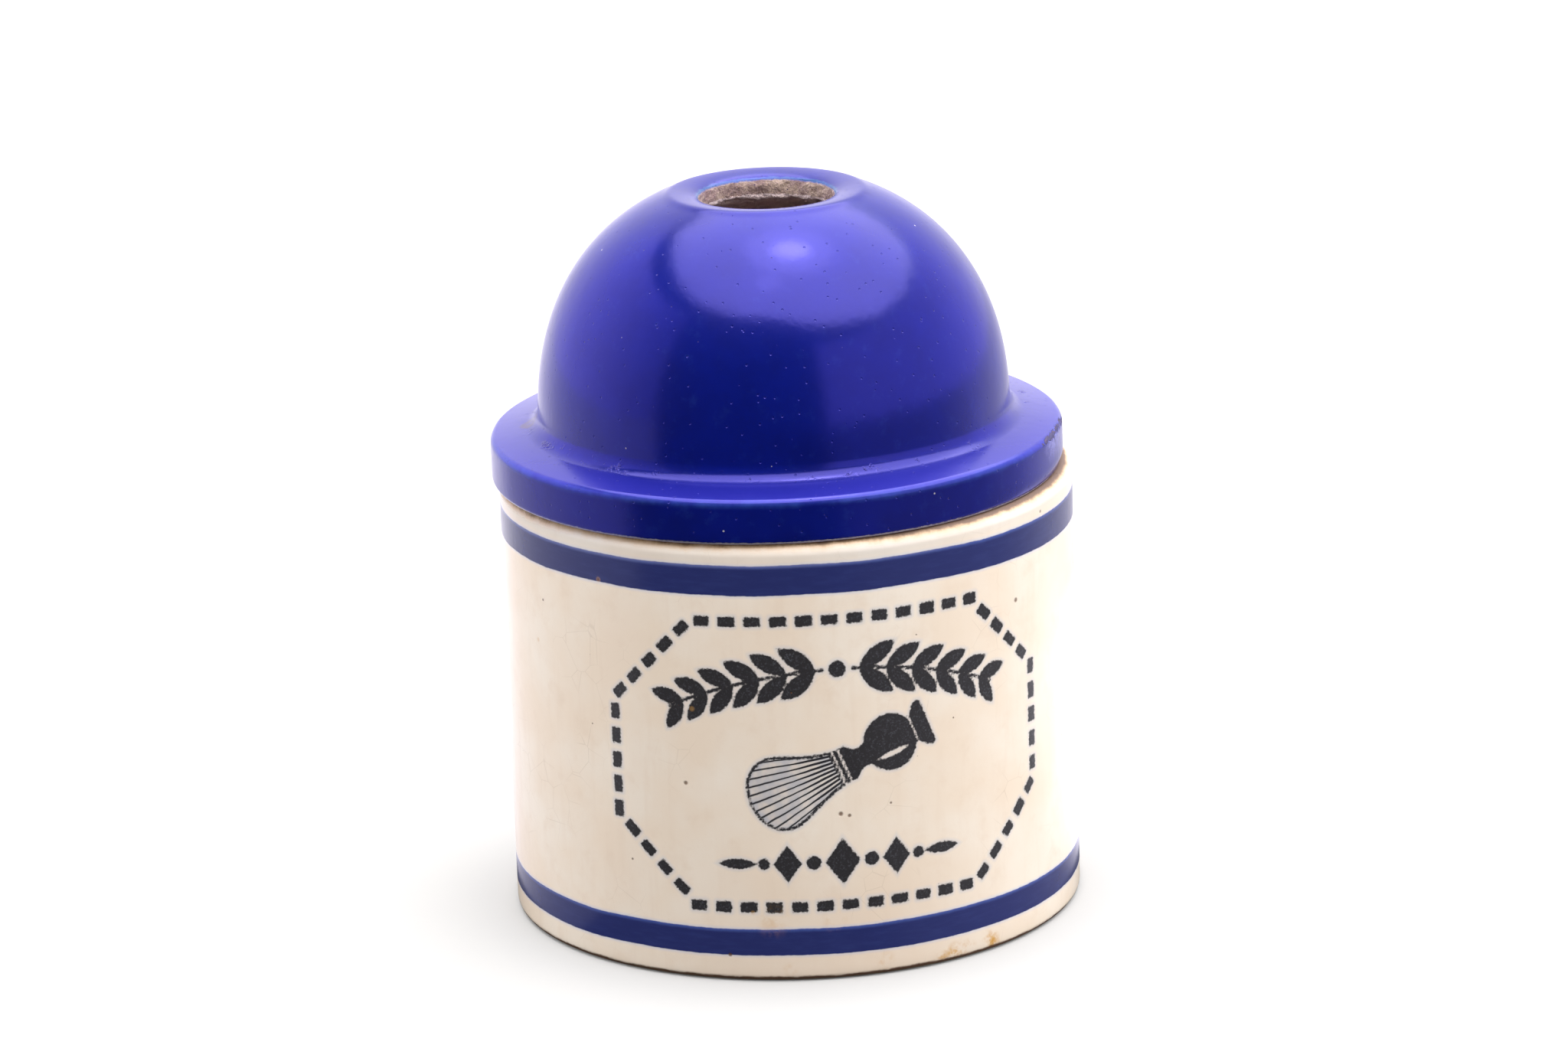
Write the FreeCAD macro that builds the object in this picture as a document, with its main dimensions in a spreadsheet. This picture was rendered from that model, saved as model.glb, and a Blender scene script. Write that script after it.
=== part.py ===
import FreeCAD, Part
import math
import os
import Sketcher
from FreeCAD import Vector

# Pottery razor bath: a straight-sided jar and a loose domed lid with a hole in its crown.
# +Z is up, the origin is the middle of the base, and the decorated front faces -Y.

doc = FreeCAD.newDocument("razor_bath")

# Driving sizes, in millimetres except the one angle, which is in degrees.
SIZES = [
    # the jar
    ("jar_radius", 35.0),       # outside of the cylinder
    ("jar_height", 54.4),       # from the foot to the rim that the lid sits on
    ("jar_wall", 4.0),
    ("jar_floor", 5.0),         # top of the inside floor above the foot
    ("corner_round", 5.0),      # inside, where the wall meets the floor
    ("rim_round", 1.5),         # outer edge of the rim
    ("mouth_round", 1.0),       # inner edge of the rim
    ("foot_round", 0.9),        # outer edge of the foot
    ("foot_width", 5.0),        # ring that the jar stands on
    ("foot_recess", 1.2),       # depth of the hollow inside that ring
    # the lid's flange and the lip under it that drops into the jar
    ("flange_setback", 0.3),    # how far the flange's edge is inside the jar's wall
    ("flange_height", 5.3),     # height of its upright edge
    ("flange_slope", 14.0),     # degrees that its top climbs towards the dome
    ("flange_ledge", 5.95),     # from its edge in to the side of the dome
    ("flange_round", 0.9),      # upper edge
    ("flange_under", 0.6),      # lower edge
    ("lip_play", 1.4),          # between the lip and the jar's mouth, on the radius
    ("lip_depth", 3.5),
    ("lip_round", 0.8),
    ("side_gap", 0.3),          # what is left of the play where the lid lies to one side
    # the dome
    ("dome_wall", 4.0),
    ("dome_foot", 7.0),         # where the side stands upright, above the seat
    ("side_radius", 40.3),      # arc of the side
    ("crown_offset", 4.0),      # centre of the crown's arc: out from the axis
    ("crown_height", 11.8),     # and above the seat
    ("cove_round", 2.2),        # hollow between the flange and the dome
    ("dish_radius", 11.5),      # crest around the shallow dish in the crown
    ("dish_depth", 0.6),
    ("crest_round", 2.0),
    ("hole_radius", 8.2),       # hole that the razor's handle comes out of
    ("hole_round", 0.4),
]

sheet = doc.addObject("Spreadsheet::Sheet", "sizes")
for row, (alias, number) in enumerate(SIZES, start=1):
    sheet.set(f"A{row}", alias)
    sheet.set(f"B{row}", str(number))
    sheet.setAlias(f"B{row}", alias)
doc.recompute()

# Places worked out from those sizes, as formulas of the sheet.
MOUTH_RADIUS = "(sizes.jar_radius - sizes.jar_wall)"
FOOT_INSIDE = "(sizes.jar_radius - sizes.foot_width)"
FLANGE_RADIUS = "(sizes.jar_radius - sizes.flange_setback)"
DOME_RADIUS = f"({FLANGE_RADIUS} - sizes.flange_ledge)"
INSIDE_RADIUS = f"({DOME_RADIUS} - sizes.dome_wall)"
LIP_RADIUS = f"({MOUTH_RADIUS} - sizes.lip_play)"


def value(formula):
    """Number that a formula of the sheet gives now."""
    return float(sheet.evalExpression(formula))


def plane(body, role):
    return next(f for f in body.Origin.OriginFeatures if f.Role == role)


def new_body(label):
    body = doc.addObject("PartDesign::Body", label)
    body.Label = label
    return body


def new_sketch(body, name, role):
    sketch = body.newObject("Sketcher::SketchObject", name)
    sketch.AttachmentSupport = [(plane(body, role), "")]
    sketch.MapMode = "FlatFace"
    return sketch


def drive(sketch, name, formula, kind, *places):
    """Add a dimension to a sketch and tie it to a formula of the sheet."""
    number = value(formula)
    if kind == "Angle":
        number = math.radians(number)
        formula = f"({formula}) * 1 deg"
    index = sketch.addConstraint(Sketcher.Constraint(kind, *places, number))
    sketch.renameConstraint(index, name)
    sketch.setExpression(f"Constraints.{name}", formula)


def circle_sketch(body, name, radius):
    """Circle round the axis, on the body's XY plane."""
    sketch = new_sketch(body, name, "XY_Plane")
    sketch.addGeometry(Part.Circle(Vector(0, 0, 0), Vector(0, 0, 1), value(radius)), False)
    sketch.addConstraint(Sketcher.Constraint("Coincident", 0, 3, -1, 1))
    drive(sketch, "radius", radius, "Radius", 0)
    return sketch


def rings(shape, radius):
    """Name and height of each edge that is a level circle of a radius."""
    found = []
    for number, edge in enumerate(shape.Edges, start=1):
        level = isinstance(edge.Curve, Part.Circle) and abs(edge.Curve.Axis.z) > 0.999
        if level and abs(edge.Curve.Radius - radius) < 1e-4:
            found.append((f"Edge{number}", edge.Curve.Center.z))
    return found


def ring_heights(shape, radius):
    return [height for _, height in rings(shape, radius)]


def round_edge(body, name, size, radius, height=None):
    """Fillet the ring edge of a radius, and at a height, on the body's last feature."""
    doc.recompute()
    base = body.Tip
    edges = [edge for edge, z in rings(base.Shape, radius)
             if height is None or abs(z - height) < 1e-4]
    if not edges:
        raise RuntimeError(f"{name}: no edge of radius {radius:.2f} to round")
    fillet = body.newObject("PartDesign::Fillet", name)
    fillet.Base = (base, edges)
    fillet.setExpression("Radius", f"sizes.{size}")
    return fillet


# ---- jar ----------------------------------------------------------------------------------


def make_jar():
    jar = new_body("jar")

    wall = jar.newObject("PartDesign::Pad", "jar_outside")
    wall.Profile = circle_sketch(jar, "jar_outside_circle", "sizes.jar_radius")
    wall.setExpression("Length", "sizes.jar_height")

    cavity = jar.newObject("PartDesign::Pocket", "jar_inside")
    cavity.Profile = circle_sketch(jar, "jar_inside_circle", MOUTH_RADIUS)
    cavity.Profile[0].setExpression("AttachmentOffset.Base.z", "sizes.jar_height")
    cavity.setExpression("Length", "sizes.jar_height - sizes.jar_floor")

    recess = jar.newObject("PartDesign::Pocket", "foot_recess")
    recess.Profile = circle_sketch(jar, "foot_recess_circle", FOOT_INSIDE)
    recess.Reversed = True
    recess.setExpression("Length", "sizes.foot_recess")

    rim_height = value("sizes.jar_height")
    outside = value("sizes.jar_radius")
    mouth = value(MOUTH_RADIUS)
    round_edge(jar, "corner", "corner_round", mouth, value("sizes.jar_floor"))
    round_edge(jar, "rim", "rim_round", outside, rim_height)
    round_edge(jar, "mouth", "mouth_round", mouth, rim_height)
    round_edge(jar, "foot", "foot_round", outside, 0)
    return jar


# ---- lid ----------------------------------------------------------------------------------
# Its half section is one closed outline in the XZ plane, turned round the axis. Zero height is
# the seat under the flange, and the body is then placed on the jar's rim.


def line(start, end):
    return Part.LineSegment(Vector(*start, 0), Vector(*end, 0))


def arc(centre, radius, from_deg, to_deg):
    circle = Part.Circle(Vector(*centre, 0), Vector(0, 0, 1), radius)
    return Part.ArcOfCircle(circle, math.radians(from_deg), math.radians(to_deg))


def lid_section(lid):
    sketch = new_sketch(lid, "lid_section", "XZ_Plane")
    inside, lip, flange, dome = (
        value(f) for f in (INSIDE_RADIUS, LIP_RADIUS, FLANGE_RADIUS, DOME_RADIUS)
    )
    (lip_bottom, edge_top, slope, cove, foot, side, wall, crest, hole) = (
        value(f"sizes.{name}")
        for name in ("lip_depth", "flange_height", "flange_slope", "cove_round", "dome_foot",
                     "side_radius", "dome_wall", "dish_radius", "hole_radius")
    )
    # First guess at where the arcs meet, which the sketch's own solver then settles.
    side_centre = (dome - side, foot)
    crown_centre = (value("sizes.crown_offset"), value("sizes.crown_height"))
    crown = side - math.dist(side_centre, crown_centre)
    meet = math.degrees(math.atan2(crown_centre[1] - side_centre[1],
                                   crown_centre[0] - side_centre[0]))
    crest_angle = math.degrees(math.acos((crest - crown_centre[0]) / crown))
    crest_top = crown_centre[1] + crown * math.sin(math.radians(crest_angle))
    hole_angle = math.degrees(math.acos((hole - crown_centre[0]) / (crown - wall)))
    hole_bottom = crown_centre[1] + (crown - wall) * math.sin(math.radians(hole_angle))
    hole_top = crest_top - value("sizes.dish_depth")
    ledge_top = edge_top + (flange - dome - cove) * math.tan(math.radians(slope))
    cove_centre = (dome + cove, ledge_top + cove)

    outline = {
        "lip_end": line((inside, -lip_bottom), (lip, -lip_bottom)),
        "lip_side": line((lip, -lip_bottom), (lip, 0)),
        "seat": line((lip, 0), (flange, 0)),
        "edge": line((flange, 0), (flange, edge_top)),
        "ledge": line((flange, edge_top), (dome + cove, ledge_top)),
        "cove": arc(cove_centre, cove, 180, 270 - slope),
        "side": arc(side_centre, side, 1, meet),
        "crown": arc(crown_centre, crown, meet, crest_angle),
        "dish": line((crest, crest_top), (hole, hole_top)),
        "hole": line((hole, hole_top), (hole, hole_bottom)),
        "crown_in": arc(crown_centre, crown - wall, meet, hole_angle),
        "side_in": arc(side_centre, side - wall, 0, meet),
        "bore": line((inside, foot), (inside, -lip_bottom)),
    }
    sketch.addGeometry(list(outline.values()), False)
    part = {name: index for index, name in enumerate(outline)}
    start, end, centre = 1, 2, 3
    origin = (-1, 1)

    def tie(kind, *places):
        sketch.addConstraint(Sketcher.Constraint(kind, *places))

    for first, second in [("lip_end", "lip_side"), ("lip_side", "seat"), ("seat", "edge"),
                          ("edge", "ledge"), ("dish", "hole"), ("bore", "lip_end")]:
        tie("Coincident", part[first], end, part[second], start)
    tie("Coincident", part["crown"], end, part["dish"], start)
    tie("Coincident", part["hole"], end, part["crown_in"], end)
    tie("Coincident", part["side"], centre, part["side_in"], centre)
    tie("Coincident", part["crown"], centre, part["crown_in"], centre)
    tie("Tangent", part["ledge"], end, part["cove"], end)
    tie("Tangent", part["cove"], start, part["side"], start)
    tie("Tangent", part["side"], end, part["crown"], start)
    tie("Tangent", part["crown_in"], start, part["side_in"], end)
    tie("Tangent", part["side_in"], start, part["bore"], start)
    for flat in ("lip_end", "seat"):
        tie("Horizontal", part[flat])
    for upright in ("lip_side", "edge", "hole", "bore"):
        tie("Vertical", part[upright])
    tie("PointOnObject", part["seat"], end, -1)

    drive(sketch, "lip_radius", LIP_RADIUS, "DistanceX", *origin, part["seat"], start)
    drive(sketch, "lip_depth", "sizes.lip_depth", "DistanceY", part["lip_side"], start, *origin)
    drive(sketch, "flange_radius", FLANGE_RADIUS, "DistanceX", *origin, part["seat"], end)
    drive(sketch, "flange_height", "sizes.flange_height", "DistanceY", *origin, part["edge"], end)
    drive(sketch, "ledge_angle", "180 - sizes.flange_slope", "Angle", part["ledge"])
    drive(sketch, "cove_radius", "sizes.cove_round", "Radius", part["cove"])
    drive(sketch, "side_radius", "sizes.side_radius", "Radius", part["side"])
    drive(sketch, "side_out", f"{DOME_RADIUS} - sizes.side_radius",
          "DistanceX", *origin, part["side"], centre)
    drive(sketch, "side_up", "sizes.dome_foot", "DistanceY", *origin, part["side"], centre)
    drive(sketch, "side_radius_in", "sizes.side_radius - sizes.dome_wall",
          "Radius", part["side_in"])
    drive(sketch, "crown_out", "sizes.crown_offset",
          "DistanceX", *origin, part["crown"], centre)
    drive(sketch, "crown_up", "sizes.crown_height", "DistanceY", *origin, part["crown"], centre)
    drive(sketch, "crest_radius", "sizes.dish_radius", "DistanceX", *origin, part["dish"], start)
    drive(sketch, "dish_depth", "sizes.dish_depth",
          "DistanceY", part["dish"], end, part["dish"], start)
    drive(sketch, "hole_radius", "sizes.hole_radius", "DistanceX", *origin, part["hole"], start)
    return sketch


def make_lid():
    lid = new_body("lid")
    turned = lid.newObject("PartDesign::Revolution", "lid_turned")
    turned.Profile = lid_section(lid)
    turned.ReferenceAxis = (turned.Profile[0], ["V_Axis"])
    turned.Angle = 360
    doc.recompute()

    flange = value(FLANGE_RADIUS)
    hole = value("sizes.hole_radius")
    hole_top = max(ring_heights(turned.Shape, hole))
    round_edge(lid, "lip_end_round", "lip_round", value(LIP_RADIUS), -value("sizes.lip_depth"))
    round_edge(lid, "flange_lower_round", "flange_under", flange, 0)
    round_edge(lid, "flange_upper_round", "flange_round", flange, value("sizes.flange_height"))
    round_edge(lid, "crest", "crest_round", value("sizes.dish_radius"))
    round_edge(lid, "hole_edge", "hole_round", hole, hole_top)

    # The lid sits on the rim, and lies to the -X side of the play that its lip has.
    lid.setExpression("Placement.Base.x", "sizes.side_gap - sizes.lip_play")
    lid.setExpression("Placement.Base.z", "sizes.jar_height")
    return lid


def hole_wall(shape):
    """Heights between which the hole's wall is straight."""
    radius = value("sizes.hole_radius")
    wall = next(face for face in shape.Faces
                if isinstance(face.Surface, Part.Cylinder)
                and abs(face.Surface.Radius - radius) < 1e-4)
    box = wall.optimalBoundingBox()
    return box.ZMin, box.ZMax


def check(nodes):
    for item in doc.Objects:
        if "Invalid" in item.State or "Error" in item.State:
            raise RuntimeError(f"{item.Label} did not build: {item.State}")
        if item.TypeId == "Sketcher::SketchObject" and not item.FullyConstrained:
            raise RuntimeError(f"{item.Label} is not fully constrained")
    for node in nodes:
        if node.Shape.isNull() or not node.Shape.isValid() or len(node.Shape.Solids) != 1:
            raise RuntimeError(f"{node.Label} is not one sound solid")


nodes = [make_jar(), make_lid()]
doc.recompute()
check(nodes)

os.makedirs("parts", exist_ok=True)
for node in nodes:
    node.Shape.exportStep(f"parts/{node.Label}.step")
    box = node.Shape.optimalBoundingBox()
    print(f"{node.Label}: volume {node.Shape.Volume:.0f} mm3, "
          f"X {box.XMin:.2f} to {box.XMax:.2f}, Y {box.YMin:.2f} to {box.YMax:.2f}, "
          f"Z {box.ZMin:.2f} to {box.ZMax:.2f}")
lower, upper = hole_wall(nodes[1].Shape)
print(f"straight wall of the hole: Z {lower:.2f} to {upper:.2f}")
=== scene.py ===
import bpy
import bmesh
import math
import numpy as np
from mathutils import Matrix, Vector, noise


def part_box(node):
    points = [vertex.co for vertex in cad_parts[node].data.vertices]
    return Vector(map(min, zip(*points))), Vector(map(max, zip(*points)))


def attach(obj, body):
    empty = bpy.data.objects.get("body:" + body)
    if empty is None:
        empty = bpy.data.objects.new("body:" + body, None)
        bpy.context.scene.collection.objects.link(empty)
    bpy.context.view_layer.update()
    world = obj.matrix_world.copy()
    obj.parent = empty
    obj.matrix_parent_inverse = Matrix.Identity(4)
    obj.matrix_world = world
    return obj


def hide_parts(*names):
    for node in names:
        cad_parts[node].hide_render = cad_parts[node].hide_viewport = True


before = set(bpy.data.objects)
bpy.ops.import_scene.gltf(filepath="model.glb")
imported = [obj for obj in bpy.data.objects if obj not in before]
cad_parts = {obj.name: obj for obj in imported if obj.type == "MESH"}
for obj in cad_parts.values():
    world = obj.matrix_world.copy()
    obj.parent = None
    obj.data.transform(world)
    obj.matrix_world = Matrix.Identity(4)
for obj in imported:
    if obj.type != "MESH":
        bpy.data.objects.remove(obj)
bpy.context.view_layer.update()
mm = 0.001

# places that everything else is worked out from, in mm
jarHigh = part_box("jar")[1] / mm
lidLow, lidHigh = (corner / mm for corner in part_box("lid"))
jarRadius = jarHigh.x
rimHeight = jarHigh.z
lidCentreX = (lidLow.x + lidHigh.x) / 2
flangeRadius = (lidHigh.y - lidLow.y) / 2
print("frame loaded: jar", round(2 * jarRadius, 1), "mm across, rim at", round(rimHeight, 1), "mm")


def arcPoints(centre, radius, fromDeg, toDeg, count):
    points = []
    for step in range(count + 1):
        angle = math.radians(fromDeg + (toDeg - fromDeg) * step / count)
        points.append((centre[0] + radius * math.cos(angle), centre[1] + radius * math.sin(angle)))
    return points


def linePoints(start, end, spacing):
    count = max(1, round(math.dist(start, end) / spacing))
    shares = [step / count for step in range(count + 1)]
    return [tuple(a + (b - a) * share for a, b in zip(start, end)) for share in shares]


def curvePoints(handles, count):
    # one cubic curve through four handles
    points = []
    for step in range(count + 1):
        t = step / count
        weights = ((1 - t) ** 3, 3 * t * (1 - t) ** 2, 3 * t * t * (1 - t), t ** 3)
        points.append(tuple(sum(w * h[axis] for w, h in zip(weights, handles)) for axis in (0, 1)))
    return points


def joinStretches(*stretches):
    # end to end, leaving out the points that two stretches share
    outline = []
    for point in (p for stretch in stretches for p in stretch):
        if not outline or math.dist(outline[-1], point) > 1e-4:
            outline.append(point)
    return outline


def turnPiece(name, outline, angles, closed, shape, centreX=0.0):
    # angles run from the front (-Y) towards +X, and shape moves each point a little, in mm
    vertices = []
    for angle in angles:
        for r, z in outline:
            dr, dz = shape(angle, r, z) if r > 0.01 else (0, 0)
            vertices.append((
                (centreX + (r + dr) * math.sin(angle)) * mm,
                -(r + dr) * math.cos(angle) * mm,
                (z + dz) * mm,
            ))
    rows = len(outline)
    faces = []
    for column in range(len(angles)):
        beside = (column + 1) % len(angles)
        for row in range(rows if closed else rows - 1):
            above = (row + 1) % rows
            faces.append((column * rows + row, beside * rows + row,
                          beside * rows + above, column * rows + above))
    mesh = bpy.data.meshes.new(name)
    mesh.from_pydata(vertices, [], faces)
    work = bmesh.new()
    work.from_mesh(mesh)
    bmesh.ops.remove_doubles(work, verts=work.verts, dist=1e-7)
    bmesh.ops.recalc_face_normals(work, faces=work.faces)
    for face in work.faces:
        face.smooth = True
    work.to_mesh(mesh)
    work.free()
    piece = bpy.data.objects.new(name, mesh)
    bpy.context.scene.collection.objects.link(piece)
    return piece


def cylinderPlaces(piece, centreX=0.0):
    # angle from the front, radius and height of every point
    flat = np.empty(len(piece.data.vertices) * 3)
    piece.data.vertices.foreach_get("co", flat)
    x, y, z = (flat.reshape(-1, 3) / mm).T
    x = x - centreX
    return np.arctan2(x, -y), np.hypot(x, y), z


def paintPoints(piece, name, values):
    layer = piece.data.attributes.new(name, "FLOAT", "POINT")
    layer.data.foreach_set("value", np.asarray(values, dtype=np.float32))


def ripple(angle, radius, height, size, seed):
    # smooth lumps about size mm across, between -1 and 1
    place = Vector((radius * math.sin(angle), -radius * math.cos(angle), height)) / size
    return noise.noise(place + Vector((seed * 7.3, seed * 3.1, seed * 11.7)))


def between(value, low, high):
    share = np.clip((value - low) / (high - low), 0.0, 1.0)
    return share * share * (3 - 2 * share)


rimLean = {
    "drop": 0.43,           # how far the rim and the lid on it sink at their lowest side, in mm
    "towards": -25.0,       # degrees from the front
}


def leanAt(x, y):
    turn = math.radians(rimLean["towards"])
    return -rimLean["drop"] * (x * math.sin(turn) - y * math.cos(turn)) / jarRadius


class shaderValue:
    # a value inside a material, to be reckoned with like a number
    def __init__(self, socket):
        self.socket = socket
        self.tree = socket.id_data

    def __add__(self, other):
        return mathNode("ADD", self, other)

    def __sub__(self, other):
        return mathNode("SUBTRACT", self, other)

    def __rsub__(self, other):
        return mathNode("SUBTRACT", other, self)

    def __mul__(self, other):
        return mathNode("MULTIPLY", self, other)

    def __truediv__(self, other):
        return mathNode("DIVIDE", self, other)

    def __abs__(self):
        return mathNode("ABSOLUTE", self)

    def __pow__(self, other):
        return mathNode("POWER", self, other)


def feed(socket, value):
    if isinstance(value, shaderValue):
        value.tree.links.new(value.socket, socket)
    else:
        socket.default_value = value


def newNode(tree, kind, inputs, output=0, **settings):
    # settings come first, because they change which sockets count
    node = tree.nodes.new("ShaderNode" + kind)
    for name, setting in settings.items():
        setattr(node, name, setting)
    for key, value in inputs.items():
        feed(node.inputs[key], value)
    return shaderValue(node.outputs[output])


def newMaterial(name):
    # its shader, and the place on the piece itself in mm
    material = bpy.data.materials.new(name)
    material.use_nodes = True
    tree = material.node_tree
    place = newNode(tree, "TexCoord", {}, "Object")
    place = newNode(tree, "VectorMath", {0: place, "Scale": 1 / mm}, operation="SCALE")
    return material, tree.nodes["Principled BSDF"].inputs, place


def mathNode(operation, *values):
    tree = next(value.tree for value in values if isinstance(value, shaderValue))
    return newNode(tree, "Math", dict(enumerate(values)), operation=operation)


def ramp(value, low, high, start=0.0, end=1.0):
    # smooth step from start, at low, to end, at high
    inputs = dict(enumerate((value, low, high, start, end)))
    return newNode(value.tree, "MapRange", inputs, "Result", interpolation_type="SMOOTHSTEP")


def attribute(tree, name):
    return newNode(tree, "Attribute", {}, "Fac", attribute_name=name)


def split(vector):
    first = newNode(vector.tree, "SeparateXYZ", {0: vector})
    return [shaderValue(socket) for socket in first.socket.node.outputs]


def join(x, y, z):
    return newNode(x.tree, "CombineXYZ", {0: x, 1: y, 2: z})


def fromAxis(x, y):
    return mathNode("SQRT", x * x + y * y)


def noiseNode(place, size, detail, rough, shift):
    # cloudy noise from 0 to 1, with lumps about size mm across
    inputs = {"Vector": place, "W": shift, "Scale": 1 / size, "Detail": detail, "Roughness": rough}
    return newNode(place.tree, "TexNoise", inputs, "Fac", noise_dimensions="4D")


def dots(place, spacing, radius, share, shift):
    # scattered round dots, in that share of the cells: 1 inside a dot
    step = (17.3 * shift, 31.1 * shift, 7.7 * shift)
    moved = newNode(place.tree, "VectorMath", {0: place, 1: step}, operation="ADD")
    cells = newNode(place.tree, "TexVoronoi", {"Vector": moved, "Scale": 1 / spacing}, "Distance")
    dot = ramp(cells, radius / spacing, 0.5 * radius / spacing)
    chance = split(shaderValue(cells.socket.node.outputs["Color"]))[0]
    return dot * mathNode("LESS_THAN", chance, share)


def mix(share, first, second, kind="RGBA"):
    places = (6, 7, 2) if kind == "RGBA" else (2, 3, 0)
    inputs = {0: share, places[0]: first, places[1]: second}
    return newNode(share.tree, "Mix", inputs, places[2], data_type=kind)


def bump(height, depth, normal=None):
    # depth in mm for a height of 1
    inputs = {"Distance": depth * mm, "Height": height}
    if normal:
        inputs["Normal"] = normal
    return newNode(height.tree, "Bump", inputs, "Normal")


def distanceNode(place, radius, degrees, height, centreX=0.0):
    # from a spot on a wall of that radius
    turn = math.radians(degrees)
    spot = (centreX + radius * math.sin(turn), -radius * math.cos(turn), height)
    return newNode(place.tree, "VectorMath", {0: place, 1: spot}, "Value", operation="DISTANCE")


jarShape = {
    "wall": 4.0,
    "floor": 5.0,
    "cornerRound": 5.0,
    "rimRound": 1.5,
    "mouthRound": 1.0,
    "footRound": 0.9,
    "footWidth": 5.0,
    "footRecess": 1.2,
    "wallWave": 0.10,       # how far the wall is out of true
    "rowSpacing": 0.8,
    "columnSpacing": 0.9,
    "printSpacing": 0.27,   # finer where the print is
}

printPlan = {
    "halfWidth": 28.0,      # centre line of the dashed frame, round the wall
    "bottom": 9.35,
    "top": 44.7,
    "corner": 10.5,         # cut off each corner of the frame
    "dashLength": 1.95,
    "dashWidth": 1.3,
    "dashPitch": 3.06,
    "sprigHeight": 38.6,    # arc of leaves over the brush
    "sprigRadius": 47.0,
    "sprigReach": 20.0,
    "leafLength": 5.2,
    "leafWidth": 2.1,
    "leafPitch": 3.3,
    "brushPlace": (-0.4, 26.3),
    "brushTilt": 112.0,     # degrees, bristles to the left and down
    "brushSize": 0.96,
    "hairCount": 118.0,     # how close together the engraved hairs lie, and how far back they meet
    "hairSpread": 8.0,
    "rowHeight": 14.8,      # lozenges and beads under the brush
    "margin": 1.6,          # how far from a mark its distance still counts
}


def jarOutline():
    inner = jarRadius - jarShape["wall"]
    ringInside = jarRadius - jarShape["footWidth"]
    foot, rim, mouth, corner = (jarShape[name + "Round"] for name in ("foot", "rim", "mouth", "corner"))
    floor, recess, row = (jarShape[name] for name in ("floor", "footRecess", "rowSpacing"))
    low = printPlan["bottom"] - printPlan["margin"]
    high = printPlan["top"] + printPlan["margin"]
    return joinStretches(
        linePoints((0, recess), (ringInside - 1.0, recess), 3.0),
        curvePoints([(ringInside - 1.0, recess), (ringInside - 0.3, recess),
                     (ringInside + 0.1, 0.7), (ringInside + 0.5, 0)], 6),
        linePoints((ringInside + 0.5, 0), (jarRadius - foot, 0), 1.0),
        arcPoints((jarRadius - foot, foot), foot, -90, 0, 6),
        linePoints((jarRadius, foot), (jarRadius, low), row),
        linePoints((jarRadius, low), (jarRadius, high), jarShape["printSpacing"]),
        linePoints((jarRadius, high), (jarRadius, rimHeight - rim), row),
        arcPoints((jarRadius - rim, rimHeight - rim), rim, 0, 90, 8),
        linePoints((jarRadius - rim, rimHeight), (inner + mouth, rimHeight), 0.6),
        arcPoints((inner + mouth, rimHeight - mouth), mouth, 90, 180, 6),
        linePoints((inner, rimHeight - mouth), (inner, floor + corner), 3.0),
        arcPoints((inner - corner, floor + corner), corner, 0, -90, 8),
        linePoints((inner - corner, floor), (0, floor), 3.0),
    )


def jarAngles():
    # fine steps across the print, and wider ones round the back
    reach = (printPlan["halfWidth"] + printPlan["margin"]) / jarRadius
    fine = max(2, round(2 * reach * jarRadius / jarShape["printSpacing"]))
    coarse = max(2, round((2 * math.pi - 2 * reach) * jarRadius / jarShape["columnSpacing"]))
    front = [-reach + 2 * reach * step / fine for step in range(fine)]
    back = [reach + (2 * math.pi - 2 * reach) * step / coarse for step in range(coarse)]
    return front + back


def jarWave(angle, r, z):
    wave = jarShape["wallWave"]
    share = min(z / 4.0, 1.0) if r > jarRadius - jarShape["footWidth"] else 1.0
    dr = wave * share * ripple(angle, r, z, 26, 1)
    dz = 0.0
    if z > rimHeight - 1.6:
        dr += 0.05 * ripple(angle, r, z, 5, 2)
        dz = -0.04 * abs(ripple(angle, r, z, 9, 3))
    lean = leanAt(r * math.sin(angle), -r * math.cos(angle))
    return dr, dz + lean * float(between(z, rimHeight - 3.4, rimHeight - 0.8))


jar = turnPiece("jarBody", jarOutline(), jarAngles(), False, jarWave)
print("jar turned:", len(jar.data.vertices), "points")


# The print on the jar is kept as the distance to the nearest mark, in mm, below zero inside it.
def turned(s, t, centre, turn):
    # places along and across a mark that is turned about its centre
    ds, dt = s - centre[0], t - centre[1]
    return ds * math.cos(turn) + dt * math.sin(turn), dt * math.cos(turn) - ds * math.sin(turn)


def boxDistance(s, t, centre, half, turn=0.0, rounding=0.15):
    u, v = turned(s, t, centre, turn)
    du = np.abs(u) - half[0] + rounding
    dv = np.abs(v) - half[1] + rounding
    outside = np.hypot(np.maximum(du, 0), np.maximum(dv, 0))
    return outside + np.minimum(np.maximum(du, dv), 0) - rounding


def discDistance(s, t, centre, radius):
    return np.hypot(s - centre[0], t - centre[1]) - radius


def leafDistance(s, t, centre, length, width, turn):
    # two arcs that meet in a point at each end
    u, v = turned(s, t, centre, turn)
    radius = (length * length + width * width) / (4 * width)
    return np.hypot(u, np.abs(v) + radius - width / 2) - radius


def lozengeDistance(s, t, centre, half):
    across = np.abs(s - centre[0]) * half[1] + np.abs(t - centre[1]) * half[0] - half[0] * half[1]
    return across / math.hypot(*half)


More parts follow.
